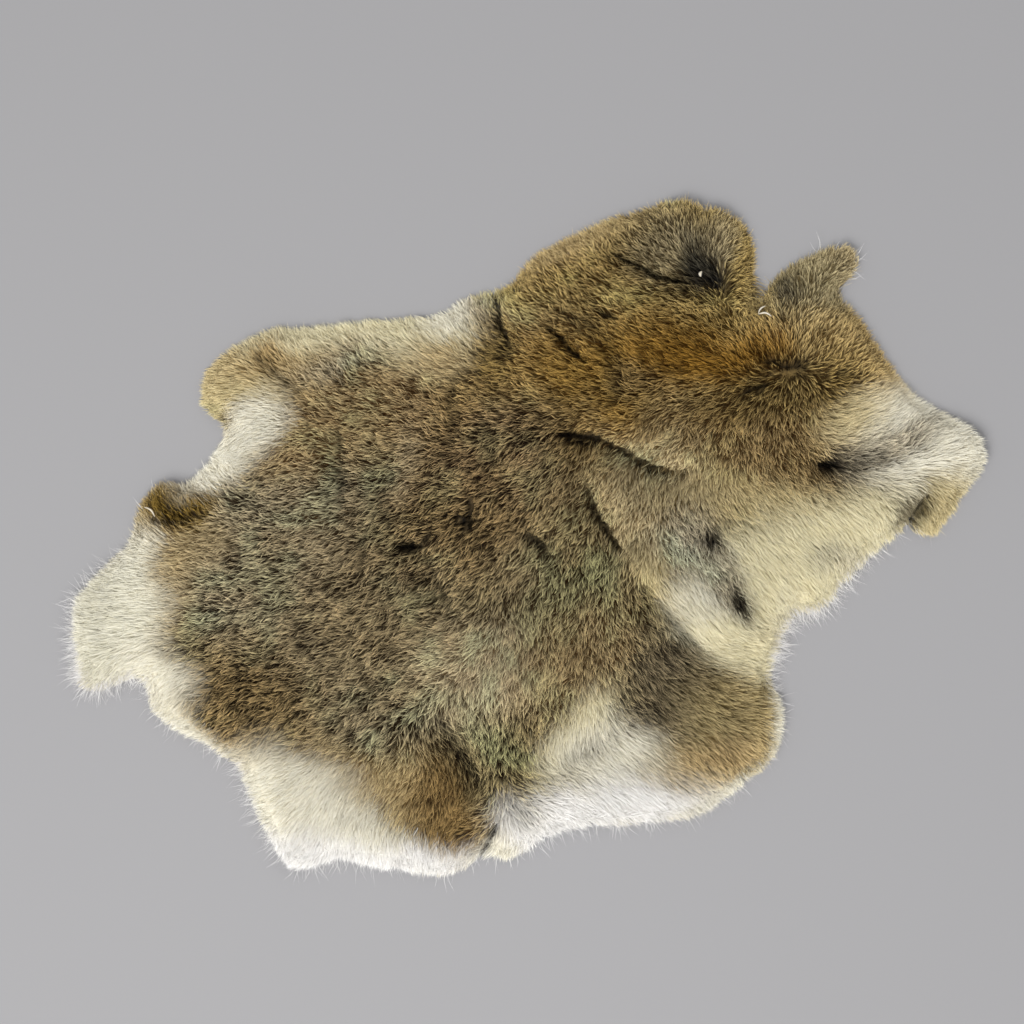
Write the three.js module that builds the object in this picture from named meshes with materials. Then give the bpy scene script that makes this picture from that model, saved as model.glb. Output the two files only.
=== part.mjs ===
// A tanned rabbit pelt lying fur side up: one piece of skin with its fur on, about 41 x 31 cm.
// The solid is the pelt as it lies. Its underside is the skin, flat on the surface but for the
// places where it buckles or curls up. Its top is the reach of the fur, with the lumps and creases
// that show from a step away, and pointed locks of fur stand out all round its rim.
// Millimetres, +Z up. +X runs towards the head end and +Y towards the pelt's left flank.

import * as THREE from "three";

// Driving dimensions
const FUR_DEPTH = 13; // skin and fur together, over most of the back
const LEAST_DEPTH = 3.5; // where the fur is thinnest
const RIM_TOP = 5.5; // top and bottom of the slab's rim, which the locks grow from
const RIM_BOTTOM = 1.4;
const RIM_ROUND = 15; // how far in from the rim the fur reaches its full depth
const SKIN_INSET = 7; // how far the fur overhangs the skin's own edge
const FUR_EDGE_INSET = 2; // the slab's rim lies this far inside the outline, and locks cross it

const LOCK_COUNT = 250;
const LOCK_REACH = { least: 3, most: 6.5 }; // outwards, from the slab's rim
const LOCK_LEAN = 1.8; // sideways, either way
const LOCK_TIP = { least: 0.6, most: 3.6 }; // height of a lock's tip

const TOP_SPACING = 5.2; // between the points of the fur's surface
const CREASE_SPACING = 4.5; // along a crease
const SKIN_SPACING = 9; // between the points of the underside
const RIM_RING_INSET = 3.6;

const WAVE = { length: 34, rise: 1.3 }; // soft unevenness of the whole pelt
const CLUMP = { length: 11, rise: 0.9 }; // clumps of fur

// The outline of the fur, clockwise seen from above, from the tip of the tail flap.
const OUTLINE = [
  { stretch: "tail flap", points: [[-200, -69], [-202, -58], [-204, -40], [-202, -28], [-195, -19], [-180, -3], [-177, 4]] },
  { stretch: "turned-back edge", points: [[-172, 18], [-161, 26], [-154, 24], [-149, 28]] },
  { stretch: "rump bay", points: [[-140, 37], [-135, 50]] },
  { stretch: "left hind flap", points: [[-144, 57], [-147, 66], [-144, 75], [-130, 87], [-115, 94]] },
  { stretch: "left flank", points: [[-99, 95], [-68, 98], [-37, 101]] },
  { stretch: "armpit pleat", points: [[-27, 108], [-13, 111], [-4, 117]] },
  { stretch: "left shoulder", points: [[1, 124], [13, 132], [36, 143], [57, 150], [66, 153]] },
  { stretch: "left ear flap", points: [[75, 153], [78, 150], [91, 148], [99, 143], [104, 134], [105, 112]] },
  { stretch: "neck notch", points: [[107, 103], [109, 112], [118, 122]] },
  { stretch: "ear stub", points: [[130, 129], [139, 132], [148, 132], [152, 125], [148, 116], [142, 111]] },
  { stretch: "cheek", points: [[153, 98], [163, 82], [178, 63], [198, 52]] },
  { stretch: "nose flap", points: [[206, 45], [208, 37], [206, 30], [197, 18], [192, 9], [184, 0], [172, 4]] },
  { stretch: "throat", points: [[162, -4], [150, -15], [143, -21], [140, -27], [132, -33], [123, -34]] },
  { stretch: "right underarm", points: [[118, -42], [114, -53], [111, -62]] },
  { stretch: "foreleg flap", points: [[117, -78], [114, -97], [105, -106], [87, -121], [73, -127], [52, -129]] },
  { stretch: "belly edge", points: [[20, -132], [9, -136], [-3, -144], [-9, -146], [-15, -144]] },
  { stretch: "right hind flap", points: [[-22, -145], [-27, -150], [-39, -153], [-54, -151], [-78, -147], [-86, -145]] },
  { stretch: "right hind corner", points: [[-93, -148], [-102, -150], [-108, -147], [-115, -137], [-126, -112], [-129, -103]] },
  { stretch: "rump", points: [[-136, -98], [-159, -86], [-168, -78], [-170, -68]] },
  { stretch: "tail root", points: [[-177, -63], [-191, -68]] },
];

// Where the fur stands deeper or thinner than FUR_DEPTH. Radii are along and across the turn, in degrees.
const MOUNDS = [
  { name: "flank lump", at: [-14, -50], radii: [42, 30], turn: 0, rise: 4 },
  { name: "foreleg mound", at: [84, -85], radii: [40, 40], turn: 0, rise: 3.5 },
  { name: "shoulder", at: [38, 94], radii: [66, 36], turn: 15, rise: 2.5 },
  { name: "rump", at: [-115, -23], radii: [70, 56], turn: 0, rise: 2.5 },
  { name: "saddle", at: [-38, 27], radii: [70, 56], turn: 0, rise: 2 },
  { name: "neck", at: [79, 51], radii: [60, 30], turn: -10, rise: 3 },
  { name: "left hind flap", at: [-126, 75], radii: [26, 18], turn: 0, rise: 1.5 },
  { name: "right hind flap", at: [-97, -117], radii: [38, 38], turn: 0, rise: 1.5 },
  { name: "cheek", at: [160, 24], radii: [34, 24], turn: 0, rise: 1.5 },
  { name: "throat", at: [115, -14], radii: [46, 32], turn: 0, rise: 1.5 },
  { name: "belly", at: [43, -108], radii: [54, 20], turn: 0, rise: 1.5 },
  { name: "turned-back edge", at: [-159, 18], radii: [22, 14], turn: 10, rise: 4 },
  { name: "left ear flap", at: [92, 132], radii: [22, 28], turn: 0, rise: -5 },
  { name: "ear stub", at: [138, 122], radii: [34, 22], turn: 20, rise: -6 },
  { name: "tail flap", at: [-193, -45], radii: [30, 42], turn: 0, rise: -7 },
];

// Where the skin buckles or curls up off the surface, so that the underside is hollow there.
const LIFTS = [
  { name: "shoulder buckle", at: [52, 16], radii: [36, 18], turn: -60, rise: 4 },
  { name: "flank buckle", at: [-2, -68], radii: [46, 20], turn: 20, rise: 4 },
  { name: "nape buckle", at: [104, 82], radii: [44, 16], turn: 12, rise: 4 },
  { name: "haunch buckle", at: [-88, 30], radii: [20, 42], turn: 0, rise: 3 },
  { name: "tail curl", at: [-200, -34], radii: [18, 34], turn: 0, rise: 4 },
  { name: "nose curl", at: [206, 40], radii: [26, 22], turn: 0, rise: 4.5 },
  { name: "left ear curl", at: [88, 152], radii: [30, 16], turn: 0, rise: 4.5 },
  { name: "ear stub curl", at: [153, 131], radii: [20, 16], turn: 0, rise: 3 },
  { name: "turned-back edge", at: [-164, 25], radii: [18, 12], turn: 20, rise: 3 },
  { name: "foreleg edge", at: [118, -86], radii: [18, 32], turn: 0, rise: 3.5 },
  { name: "right hind edge", at: [-112, -148], radii: [28, 16], turn: 0, rise: 3 },
];

// Grooves where the fur parts over a fold of the skin. Those that run out over the rim start beyond it.
const CREASES = [
  { name: "shoulder crease", path: [[13, 50], [34, 45], [46, 36], [62, 32], [84, 27]], depth: 7, halfWidth: 7.5 },
  { name: "chest crease", path: [[25, 28], [35, 9], [46, -9]], depth: 6.5, halfWidth: 6.5 },
  { name: "chest branch", path: [[60, 6], [44, -6]], depth: 4, halfWidth: 6 },
  { name: "armpit crease", path: [[-16, 122], [-14, 108], [-13, 94], [-7, 81]], depth: 7, halfWidth: 7 },
  { name: "shoulder wrinkle", path: [[8, 97], [21, 88], [30, 75]], depth: 5.5, halfWidth: 6.5 },
  { name: "ear crease", path: [[36, 128], [54, 122], [70, 116], [88, 114]], depth: 5.5, halfWidth: 7 },
  { name: "ear step", path: [[72, 160], [82, 142], [90, 133], [95, 120]], depth: 3, halfWidth: 6 },
  { name: "nape crease", path: [[95, 62], [110, 70], [127, 77]], depth: 5, halfWidth: 7 },
  { name: "jaw crease", path: [[130, 35], [146, 32], [165, 40]], depth: 6, halfWidth: 7 },
  { name: "nose fold", path: [[166, -6], [178, 13], [186, 25]], depth: 5, halfWidth: 6 },
  { name: "throat crease", path: [[83, 4], [94, -18], [104, -37]], depth: 5, halfWidth: 8 },
  { name: "foreleg crease", path: [[44, -20], [61, -33], [70, -45], [81, -52], [101, -55]], depth: 7, halfWidth: 8.5 },
  { name: "flank crease", path: [[-49, -78], [-31, -97], [-16, -118]], depth: 6, halfWidth: 8 },
  { name: "belly pleat", path: [[-28, -154], [-20, -142], [-12, -131]], depth: 5.5, halfWidth: 6.5 },
  { name: "saddle wrinkle", path: [[-60, -5], [-51, -4], [-42, 1]], depth: 6, halfWidth: 6.5 },
  { name: "saddle dimple", path: [[-31, 9], [-17, 8]], depth: 6, halfWidth: 7 },
  { name: "mid-back crease", path: [[-1, 6], [15, -6]], depth: 4.5, halfWidth: 6 },
  { name: "loin crease", path: [[-47, -7], [-34, -33]], depth: 3.5, halfWidth: 7.5 },
  { name: "haunch crease", path: [[-86, 46], [-83, 27], [-84, 10]], depth: 3.5, halfWidth: 8 },
  { name: "turned-back crease", path: [[-181, 6], [-171, 8], [-158, 9], [-141, 18]], depth: 6, halfWidth: 6.5 },
  { name: "left hind crease", path: [[-130, 90], [-113, 75], [-98, 60]], depth: 3, halfWidth: 8 },
  { name: "tail crease", path: [[-195, -43], [-184, -50], [-177, -62]], depth: 2.5, halfWidth: 6.5 },
];
const CREASE_FADE = { over: 14, endShare: 0.15 }; // a crease dies away towards its ends
const CREASE_SIDE = 0.6; // where a crease's side points lie, as a share of its half width

// A number from 0 to 1 that is always the same for the same two whole numbers.
function hash(i, j) {
  let h = Math.imul(i, 374761393) ^ Math.imul(j, 668265263);
  h = Math.imul(h ^ (h >>> 13), 1274126177);
  return ((h ^ (h >>> 16)) >>> 0) / 4294967295;
}

// Smooth noise from -1 to 1 whose bumps are about one unit across.
function noise(x, y) {
  const i = Math.floor(x);
  const j = Math.floor(y);
  const u = THREE.MathUtils.smoothstep(x - i, 0, 1);
  const v = THREE.MathUtils.smoothstep(y - j, 0, 1);
  const low = THREE.MathUtils.lerp(hash(i, j), hash(i + 1, j), u);
  const high = THREE.MathUtils.lerp(hash(i, j + 1), hash(i + 1, j + 1), u);
  return 2 * THREE.MathUtils.lerp(low, high, v) - 1;
}

// A round-topped hill that falls to nothing, and level, at its radii.
function hill({ at, radii, turn, rise }, x, y) {
  const p = new THREE.Vector2(x - at[0], y - at[1]);
  p.rotateAround(new THREE.Vector2(), THREE.MathUtils.degToRad(-turn));
  const r2 = (p.x / radii[0]) ** 2 + (p.y / radii[1]) ** 2;
  return r2 < 1 ? rise * (1 - r2) ** 2 : 0;
}

function distanceToSegment(x, y, a, b) {
  const [dx, dy] = [b[0] - a[0], b[1] - a[1]];
  const along = ((x - a[0]) * dx + (y - a[1]) * dy) / (dx * dx + dy * dy);
  const t = THREE.MathUtils.clamp(along, 0, 1);
  return Math.hypot(x - a[0] - t * dx, y - a[1] - t * dy);
}

function distanceToPath(x, y, path) {
  let least = Infinity;
  for (let i = 1; i < path.length; i++) {
    least = Math.min(least, distanceToSegment(x, y, path[i - 1], path[i]));
  }
  return least;
}

// The slab's rim: evenly spaced points a little inside the outline, anticlockwise.
function rimPoints() {
  const corners = OUTLINE.flatMap((row) => row.points).map(([x, y]) => new THREE.Vector3(x, y, 0));
  const curve = new THREE.CatmullRomCurve3(corners.reverse(), true, "centripetal");
  const points = curve.getSpacedPoints(LOCK_COUNT).slice(0, LOCK_COUNT);
  return points.map((p, i) => {
    const before = points[(i + LOCK_COUNT - 1) % LOCK_COUNT];
    const after = points[(i + 1) % LOCK_COUNT];
    const along = new THREE.Vector3().subVectors(after, before).normalize();
    return [p.x - along.y * FUR_EDGE_INSET, p.y + along.x * FUR_EDGE_INSET];
  });
}

function isInside(x, y, ring) {
  let inside = false;
  ring.forEach(([ax, ay], i) => {
    const [bx, by] = ring[(i + 1) % ring.length];
    if (ay > y !== by > y && x < ax + ((bx - ax) * (y - ay)) / (by - ay)) inside = !inside;
  });
  return inside;
}

// How far a point lies inside the rim, or a negative number outside it.
function insetOf(x, y, ring) {
  const distance = distanceToPath(x, y, [...ring, ring[0]]);
  return isInside(x, y, ring) ? distance : -distance;
}

function liftAt(x, y) {
  return LIFTS.reduce((sum, lift) => sum + hill(lift, x, y), 0);
}

function creaseDepth({ path, depth, halfWidth }, x, y) {
  const across = distanceToPath(x, y, path) / halfWidth;
  if (across >= 1) return 0;
  const toEnd = Math.min(...[path[0], path.at(-1)].map(([ex, ey]) => Math.hypot(x - ex, y - ey)));
  const along = THREE.MathUtils.smoothstep(toEnd, 0, CREASE_FADE.over);
  return depth * (1 - across * across) ** 2 * THREE.MathUtils.lerp(CREASE_FADE.endShare, 1, along);
}

function creaseAt(x, y) {
  return Math.max(...CREASES.map((crease) => creaseDepth(crease, x, y)));
}

function skinHeight(x, y, inset) {
  const flare = 1 - THREE.MathUtils.clamp(inset / SKIN_INSET, 0, 1);
  return liftAt(x, y) + RIM_BOTTOM * flare;
}

function furHeight(x, y, inset) {
  const mounds = MOUNDS.reduce((sum, mound) => sum + hill(mound, x, y), 0);
  const waves = WAVE.rise * noise(x / WAVE.length, y / WAVE.length);
  const clumps = CLUMP.rise * noise(x / CLUMP.length + 50, y / CLUMP.length);
  const t = THREE.MathUtils.clamp(inset / RIM_ROUND, 0, 1);
  const round = Math.sqrt(1 - (1 - t) ** 2);
  const full = FUR_DEPTH + mounds + waves + clumps - creaseAt(x, y);
  const depth = THREE.MathUtils.lerp(RIM_TOP, Math.max(full, RIM_TOP), round);
  return liftAt(x, y) + Math.max(depth, LEAST_DEPTH);
}

// Adds points to those kept so far, each only if it is clear of all of them.
function keepClear(kept, candidates, clearance) {
  for (const [x, y] of candidates) {
    if (kept.every(([kx, ky]) => Math.hypot(x - kx, y - ky) >= clearance)) kept.push([x, y]);
  }
  return kept;
}

// A triangular grid over the pelt, each point moved a little so that no four lie on one circle.
function gridPoints(ring, spacing, leastInset) {
  const box = new THREE.Box2().setFromPoints(ring.map(([x, y]) => new THREE.Vector2(x, y)));
  const found = [];
  const rise = (spacing * Math.sqrt(3)) / 2;
  for (let row = 0, y = box.min.y; y < box.max.y; row++, y += rise) {
    for (let column = 0, x = box.min.x; x < box.max.x; column++, x += spacing) {
      const px = x + spacing * (0.5 * (row % 2) + 0.16 * (hash(row, column) - 0.5));
      const py = y + spacing * 0.16 * (hash(column, row + 999) - 0.5);
      if (insetOf(px, py, ring) > leastInset) found.push([px, py]);
    }
  }
  return found;
}

// Points along each crease and on its two shoulders.
function creasePoints(ring) {
  const found = [];
  for (const { path, halfWidth } of CREASES) {
    for (let i = 1; i < path.length; i++) {
      const [a, b] = [path[i - 1], path[i]];
      const length = Math.hypot(b[0] - a[0], b[1] - a[1]);
      const steps = Math.max(1, Math.round(length / CREASE_SPACING));
      const [nx, ny] = [(a[1] - b[1]) / length, (b[0] - a[0]) / length];
      for (let step = 0; step <= steps; step++) {
        const x = THREE.MathUtils.lerp(a[0], b[0], step / steps);
        const y = THREE.MathUtils.lerp(a[1], b[1], step / steps);
        for (const side of [0, -CREASE_SIDE * halfWidth, CREASE_SIDE * halfWidth]) {
          found.push([x + nx * side, y + ny * side]);
        }
      }
    }
  }
  return found.filter(([x, y]) => insetOf(x, y, ring) > RIM_RING_INSET * 1.6);
}

// The Delaunay triangles of a set of points, anticlockwise, by adding one point at a time.
function delaunay(points) {
  const far = 1e4;
  const all = [...points, [-far, -far], [far, -far], [0, far]];
  const circled = (a, b, c) => {
    const [ax, ay, bx, by, cx, cy] = [...all[a], ...all[b], ...all[c]];
    const d = 2 * (ax * (by - cy) + bx * (cy - ay) + cx * (ay - by));
    const [a2, b2, c2] = [ax * ax + ay * ay, bx * bx + by * by, cx * cx + cy * cy];
    const x = (a2 * (by - cy) + b2 * (cy - ay) + c2 * (ay - by)) / d;
    const y = (a2 * (cx - bx) + b2 * (ax - cx) + c2 * (bx - ax)) / d;
    return { a, b, c, x, y, r2: (ax - x) ** 2 + (ay - y) ** 2 };
  };
  const n = points.length;
  let triangles = [circled(n, n + 1, n + 2)];
  points.forEach(([x, y], i) => {
    const edges = new Map();
    triangles = triangles.filter((t) => {
      if ((x - t.x) ** 2 + (y - t.y) ** 2 >= t.r2) return true;
      for (const [p, q] of [[t.a, t.b], [t.b, t.c], [t.c, t.a]]) {
        if (!edges.delete(`${q},${p}`)) edges.set(`${p},${q}`, [p, q]);
      }
      return false;
    });
    for (const [p, q] of edges.values()) triangles.push(circled(p, q, i));
  });
  return triangles.filter((t) => Math.max(t.a, t.b, t.c) < n).map((t) => [t.a, t.b, t.c]);
}

// The triangles over the pelt's own area, from the rim's points followed by the inner ones.
function surfaceTriangles(ring, inner) {
  const points = [...ring, ...inner];
  return delaunay(points).filter((corners) => {
    const x = corners.reduce((sum, i) => sum + points[i][0], 0) / 3;
    const y = corners.reduce((sum, i) => sum + points[i][1], 0) / 3;
    return isInside(x, y, ring);
  });
}

// The tip of the lock that grows from the rim between point i and the next one.
function lockTip(ring, i) {
  const [a, b] = [ring[i], ring[(i + 1) % ring.length]];
  const length = Math.hypot(b[0] - a[0], b[1] - a[1]);
  const [tx, ty] = [(b[0] - a[0]) / length, (b[1] - a[1]) / length];
  const reach = THREE.MathUtils.lerp(LOCK_REACH.least, LOCK_REACH.most, hash(i, 7));
  const lean = LOCK_LEAN * (2 * hash(i, 8) - 1);
  const x = (a[0] + b[0]) / 2 + ty * reach + tx * lean;
  const y = (a[1] + b[1]) / 2 - tx * reach + ty * lean;
  const drop = THREE.MathUtils.lerp(LOCK_TIP.least, LOCK_TIP.most, hash(i, 9));
  return [x, y, liftAt((a[0] + b[0]) / 2, (a[1] + b[1]) / 2) + drop];
}

function peltGeometry() {
  const ring = rimPoints();
  const ringInner = ring.map(([x, y], i) => {
    const [ax, ay] = ring[(i + ring.length - 1) % ring.length];
    const [bx, by] = ring[(i + 1) % ring.length];
    const length = Math.hypot(bx - ax, by - ay);
    return [x - ((by - ay) / length) * RIM_RING_INSET, y + ((bx - ax) / length) * RIM_RING_INSET];
  });
  const rimRing = ringInner.filter(([x, y]) => insetOf(x, y, ring) > RIM_RING_INSET * 0.8);

  const topInner = keepClear([], rimRing, TOP_SPACING * 0.6);
  keepClear(topInner, creasePoints(ring), TOP_SPACING * 0.55);
  keepClear(topInner, gridPoints(ring, TOP_SPACING, RIM_RING_INSET * 1.7), TOP_SPACING * 0.7);
  const skinInner = keepClear([], rimRing, TOP_SPACING * 0.6);
  keepClear(skinInner, gridPoints(ring, SKIN_SPACING, SKIN_INSET), SKIN_SPACING * 0.6);

  const positions = [];
  const faces = [];
  const add = (x, y, z) => positions.push(x, y, z) / 3 - 1;
  const place = ([x, y], height) => add(x, y, height(x, y, Math.max(0, insetOf(x, y, ring))));

  const rimTop = ring.map((p) => place(p, furHeight));
  const rimBottom = ring.map((p) => place(p, skinHeight));
  const top = [...rimTop, ...topInner.map((p) => place(p, furHeight))];
  const bottom = [...rimBottom, ...skinInner.map((p) => place(p, skinHeight))];
  for (const [a, b, c] of surfaceTriangles(ring, topInner)) faces.push(top[a], top[b], top[c]);
  for (const [a, b, c] of surfaceTriangles(ring, skinInner)) faces.push(bottom[c], bottom[b], bottom[a]);

  ring.forEach((_, i) => {
    const next = (i + 1) % ring.length;
    const tip = add(...lockTip(ring, i));
    const root = [rimBottom[i], rimBottom[next], rimTop[next], rimTop[i]];
    root.forEach((corner, k) => faces.push(corner, root[(k + 1) % 4], tip));
  });

  const geometry = new THREE.BufferGeometry();
  geometry.setAttribute("position", new THREE.Float32BufferAttribute(positions, 3));
  geometry.setIndex(faces);
  geometry.computeBoundingBox();
  const { min, max } = geometry.boundingBox;
  geometry.translate(-(min.x + max.x) / 2, -(min.y + max.y) / 2, -min.z);
  geometry.computeVertexNormals();
  return geometry;
}

const fur = new THREE.MeshStandardMaterial({ color: 0x8a7654, roughness: 0.85, metalness: 0 });

const pelt = new THREE.Mesh(peltGeometry(), fur);
pelt.name = "pelt";

const group = new THREE.Group();
group.add(pelt);

export default group;
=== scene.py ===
import math

import bpy
import numpy as np
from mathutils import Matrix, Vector
from mathutils.bvhtree import BVHTree


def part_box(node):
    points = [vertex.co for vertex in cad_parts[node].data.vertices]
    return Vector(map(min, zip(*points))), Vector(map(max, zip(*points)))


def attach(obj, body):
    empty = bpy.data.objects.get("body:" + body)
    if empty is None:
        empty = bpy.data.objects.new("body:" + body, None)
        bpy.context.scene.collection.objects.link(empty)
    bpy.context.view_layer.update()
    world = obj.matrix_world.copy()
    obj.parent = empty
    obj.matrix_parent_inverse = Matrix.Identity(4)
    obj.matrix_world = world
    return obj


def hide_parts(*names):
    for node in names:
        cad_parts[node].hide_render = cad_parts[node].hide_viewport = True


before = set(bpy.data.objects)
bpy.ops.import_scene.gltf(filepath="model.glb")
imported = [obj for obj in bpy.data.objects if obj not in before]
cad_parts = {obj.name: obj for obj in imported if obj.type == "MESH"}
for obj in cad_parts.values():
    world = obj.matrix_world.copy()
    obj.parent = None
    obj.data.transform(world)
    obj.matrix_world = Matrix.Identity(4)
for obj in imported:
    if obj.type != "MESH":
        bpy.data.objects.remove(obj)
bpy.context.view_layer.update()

# A tanned rabbit pelt, fur side up: the skin, the down, the coat in pointed locks, and the longest hairs.
# Lengths are in millimetres in the pelt's own frame, and headings in degrees anticlockwise from +X.
MM = 0.001
RNG = np.random.default_rng(11)

# The two sheets. inset is how far inside the rim each ends, and below_top how far under the fur's surface the
# pad's top lies. The pad is lifted off the underside, and at least this thick.
SKIN = dict(inset=6.5, thickness=1.1, spacing=3.4)
DOWN_PAD = dict(inset=4.2, spacing=2.8, below_top=5.0, lift=1.2, least=0.8)

# The layers of hair. inset is how far inside the rim the hairs start, roll how far they turn about their own
# length, sway how far their headings vary, depth how far below the fur's surface they end, and tick how light
# they are, from 0 to 1.
COAT = dict(count=350_000, pieces=4, inset=1.2, width=0.33, roll=35)
DOWN = dict(
    count=85_000, inset=0.8, width=0.8, length=6.5, roll=60, sway=22, depth=(1.5, 4.5), tick=(0, 0.45)
)
GUARD = dict(
    count=40_000, inset=3, width=0.22, length=(7, 11), roll=60, sway=14, depth=(-1.1, 0.4), tick=(0.3, 1)
)
WISPS = dict(count=3_600, inset=(0.5, 5), width=0.12, roll=90, sway=20, length=(8, 14), height=(1.5, 4.5))

# The locks of the coat
LOCK_PITCH = 0.85  # one lock grows in each square of this size
LOCK_STRETCH = 3.0  # how much longer than wide the root of a lock is
LOCK_SEARCH = 3  # how many squares away a hair looks for its lock
LOCK_DEPTH = 3.0  # how far below the fur's surface the lowest lock ends

# Hairs in the fur
ROOT_DEPTH = 6.5  # how far below the fur's surface the roots lie, unless the skin is nearer
# A root is darker than its coat's dark: partly the hair's own dark base, partly painted shade deep in the
# fur.
ROOT_SHADE = 0.25  # how much of its colour a root keeps where the coat is black; where it is pale, all of it
LOWEST_TIP = 0.35  # how far above the floor the lowest tips end
FUR_REACH = 3.6  # how far past the slab's rim the coat's longest tips reach
RIM_TURN = (5.0, 14.0)  # the coat turns outwards between these distances from the rim
RIM_LEAN = 0.8  # how strongly it leans out of the rim there, at least
COMB_BLEND = 30.0  # the larger, the more widely the comb's headings blend, in square mm
WARMTH = 0.05  # the share by which a brown coat is redder, and less blue, than its own colours
COLOUR_STRAY = 1.4  # about how far away a hair takes its colour from, which softens the coats' borders
TICK_SPREAD = 0.15  # how much the ticks of a lock's hairs differ, each way
TICK_BAND = (0.78, 1.04)  # where a tick, with its coat's share added, goes from the dark colour to the light

# What is uneven in the fur, in soft bumps about scale mm across. size is how much each way, in mm, degrees or
# a share.
UNEVEN = {
    # scale, seed, size
    "parting": (2.2, 25, 0.9),
    "coat's border": (13, 21, 3.0),
    "coat's border, fine": (4, 23, 1.6),
    "warmth": (17, 35, 0.015),
    "lightness": (9, 36, 0.14),
    "lock's heading": (9, 31, 20),
    "lock's heading, fine": (3, 32, 24),
    "lock's height": (4.5, 33, 0.2),
    "lock's tick": (8, 34, 0.14),
    "reach": (6, 41, 0.8),
}

# A flat hair's corners: place across it, and along it from root to tip.
KITE = np.array([(0, 0.5), (0.5, 1), (1, 0.5), (0.5, 0)])
SPIKE = np.array([(0, 0), (1, 0), (0.5, 1)])

# Kinds of coat. light and dark are the colours of the palest and darkest locks, in 0-255 sRGB; length is the
# hairs' length in mm, clump how far the tips of a lock draw together, and share how many of them are light.
COATS = {
    "saddle": dict(light=(255, 236, 176), dark=(48, 32, 12), length=6.6, clump=0.88, share=0.35),
    "rump": dict(light=(255, 238, 196), dark=(56, 40, 20), length=7.8, clump=0.88, share=0.36),
    # The pale coat is laid on soft crests of the back as painted light.
    "pale": dict(light=(255, 236, 194), dark=(100, 77, 46), length=7.0, clump=0.88, share=0.42),
    # This darker brown is a coat of its own, and is also laid round creases as painted shade.
    "dark brown and painted shade": dict(light=(240, 208, 146), dark=(35, 25, 10), length=6.6, clump=0.88, share=0.3),
    "warm": dict(light=(255, 228, 172), dark=(112, 80, 42), length=6.6, clump=0.8, share=0.38),
    "plum": dict(light=(255, 218, 162), dark=(46, 27, 13), length=6.4, clump=0.88, share=0.33),
    "shoulder": dict(light=(250, 220, 146), dark=(92, 66, 25), length=6.0, clump=0.75, share=0.36),
    "rust": dict(light=(230, 188, 100), dark=(112, 79, 28), length=6.5, clump=0.65, share=0.36),
    "deep rust": dict(light=(204, 154, 62), dark=(108, 72, 18), length=6.8, clump=0.6, share=0.36),
    "olive": dict(light=(234, 202, 124), dark=(80, 58, 24), length=6.0, clump=0.75, share=0.34),
    "head": dict(light=(248, 218, 156), dark=(104, 77, 42), length=6.0, clump=0.75, share=0.36),
    "cheek": dict(light=(240, 213, 150), dark=(124, 99, 54), length=6.0, clump=0.65, share=0.36),
    "ear": dict(light=(246, 217, 140), dark=(100, 78, 34), length=4.8, clump=0.75, share=0.36),
    "grey ear": dict(light=(222, 206, 162), dark=(108, 92, 62), length=5.2, clump=0.65, share=0.45),
    "slate": dict(light=(92, 90, 80), dark=(28, 27, 25), length=7.0, clump=0.5, share=0.28),
    "ear stub": dict(light=(218, 204, 160), dark=(130, 114, 76), length=5.0, clump=0.6, share=0.45),
    "wedge": dict(light=(252, 234, 186), dark=(132, 108, 66), length=6.5, clump=0.7, share=0.5),
    "bump": dict(light=(254, 236, 194), dark=(128, 104, 70), length=8.5, clump=0.75, share=0.55),
    "cream": dict(light=(252, 244, 210), dark=(240, 228, 186), length=10.0, clump=0.5, share=0.6),
    "straw": dict(light=(246, 230, 180), dark=(206, 184, 128), length=9.0, clump=0.5, share=0.6),
    "ash": dict(light=(252, 242, 214), dark=(82, 71, 50), length=9.0, clump=0.75, share=0.5),
    "soot": dict(light=(70, 62, 50), dark=(14, 12, 10), length=8.0, clump=0.65, share=0.28),
    "leg grey": dict(light=(180, 164, 130), dark=(58, 49, 36), length=10.0, clump=0.6, share=0.35),
    "leg tan": dict(light=(222, 204, 152), dark=(124, 106, 64), length=10.0, clump=0.55, share=0.45),
    "leg rust": dict(light=(222, 196, 146), dark=(152, 126, 82), length=10.0, clump=0.5, share=0.6),
    "white": dict(light=(251, 249, 245), dark=(240, 236, 230), length=11.0, clump=0.45, share=0.6),
    "ivory": dict(light=(250, 246, 230), dark=(240, 232, 208), length=11.0, clump=0.45, share=0.6),
    "tail": dict(light=(249, 245, 228), dark=(236, 231, 208), length=11.0, clump=0.45, share=0.6),
    "tan": dict(light=(238, 216, 164), dark=(170, 140, 88), length=8.5, clump=0.55, share=0.6),
    "turned": dict(light=(192, 160, 78), dark=(76, 57, 16), length=6.0, clump=0.7, share=0.28),
    "brown": dict(light=(212, 180, 120), dark=(90, 66, 34), length=8.0, clump=0.65, share=0.4),
}

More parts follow.
